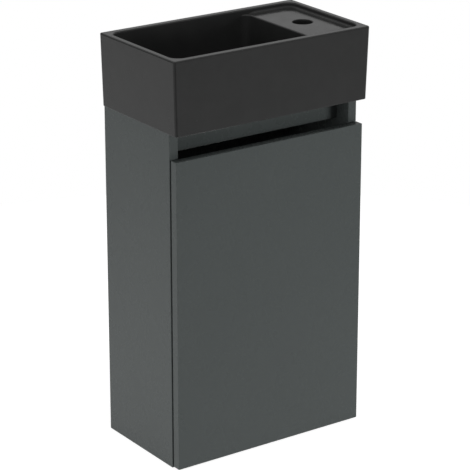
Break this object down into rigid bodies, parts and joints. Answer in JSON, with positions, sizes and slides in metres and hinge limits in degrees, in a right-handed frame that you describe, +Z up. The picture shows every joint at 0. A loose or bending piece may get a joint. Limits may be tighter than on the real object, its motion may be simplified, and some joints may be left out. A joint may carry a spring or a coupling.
{
  "type": "bathroom vanity unit",
  "caption": "Slim wall-hung cloakroom vanity: black rectangular basin with a side tap deck on an anthracite cabinet with a handleless hinged door and finger gap.",
  "frame": {"origin": "middle of the unit's footprint, level with the cabinet's underside", "axes": "+Z up, -Y towards the user (the door), +X to the right as the user faces the door; the wall plane is at y = +0.1135 m"},
  "size_m": [0.3998, 0.227, 0.731],
  "materials": {
    "ceramic": "satin black glaze",
    "lacquered_board": "anthracite lacquer, glossy",
    "back_board": "anthracite melamine, matt",
    "beech": "bare, fluted",
    "chrome": "polished chrome plate",
    "nickel_steel": "nickel plate",
    "zinc_steel": "zinc plate",
    "zinc": "die-cast zinc, bare",
    "rubber": "matt",
    "clear_rubber": "clear, soft",
    "black_plastic": "moulded, satin"
  },
  "bodies": {
    "cabinet": {"basin": "ceramic", "waste_body": "chrome", "waste_seal_top": "rubber", "waste_seal_bottom": "rubber", "waste_nut": "black_plastic", "side_panel_left": "lacquered_board", "side_panel_right": "lacquered_board", "bottom_panel": "lacquered_board", "front_rail": "lacquered_board", "rear_rail": "lacquered_board", "back_panel": "back_board", "shelf": "lacquered_board", "shelf_pins": "nickel_steel", "dowels": "beech", "cam_locks": "zinc", "cam_bolts": "nickel_steel", "wall_cleat": "zinc_steel", "hanging_cleat": "zinc_steel", "cleat_screws": "zinc_steel", "hinge_plate_screws": "nickel_steel", "hinge_adjusters": "nickel_steel", "hinge_plate_upper": "nickel_steel", "hinge_arm_upper": "nickel_steel", "hinge_arm_pin_upper": "nickel_steel", "hinge_plate_lower": "nickel_steel", "hinge_arm_lower": "nickel_steel", "hinge_arm_pin_lower": "nickel_steel"},
    "hinge_links": {"hinge_link_upper": "nickel_steel", "hinge_link_lower": "nickel_steel"},
    "door": {"door_panel": "lacquered_board", "door_bumpers": "clear_rubber", "hinge_cup_screws": "nickel_steel", "hinge_cup_upper": "nickel_steel", "hinge_cup_pin_upper": "nickel_steel", "hinge_cup_lower": "nickel_steel", "hinge_cup_pin_lower": "nickel_steel"}
  },
  "joints": [
    {"name": "link_turn", "type": "hinge", "parent": "cabinet", "child": "hinge_links", "pos_m": [0.16, -0.082, 0.2797], "axis": [0, 0, 1], "range_deg": [-25, 0]},
    {"name": "door_turn", "type": "hinge", "parent": "hinge_links", "child": "door", "pos_m": [0.1829, -0.0924, 0.2797], "axis": [0, 0, 1], "range_deg": [0, 130]}
  ],
  "couplings": [
    {"joint": "link_turn", "follows": "door_turn", "ratio": -0.19231}
  ]
}
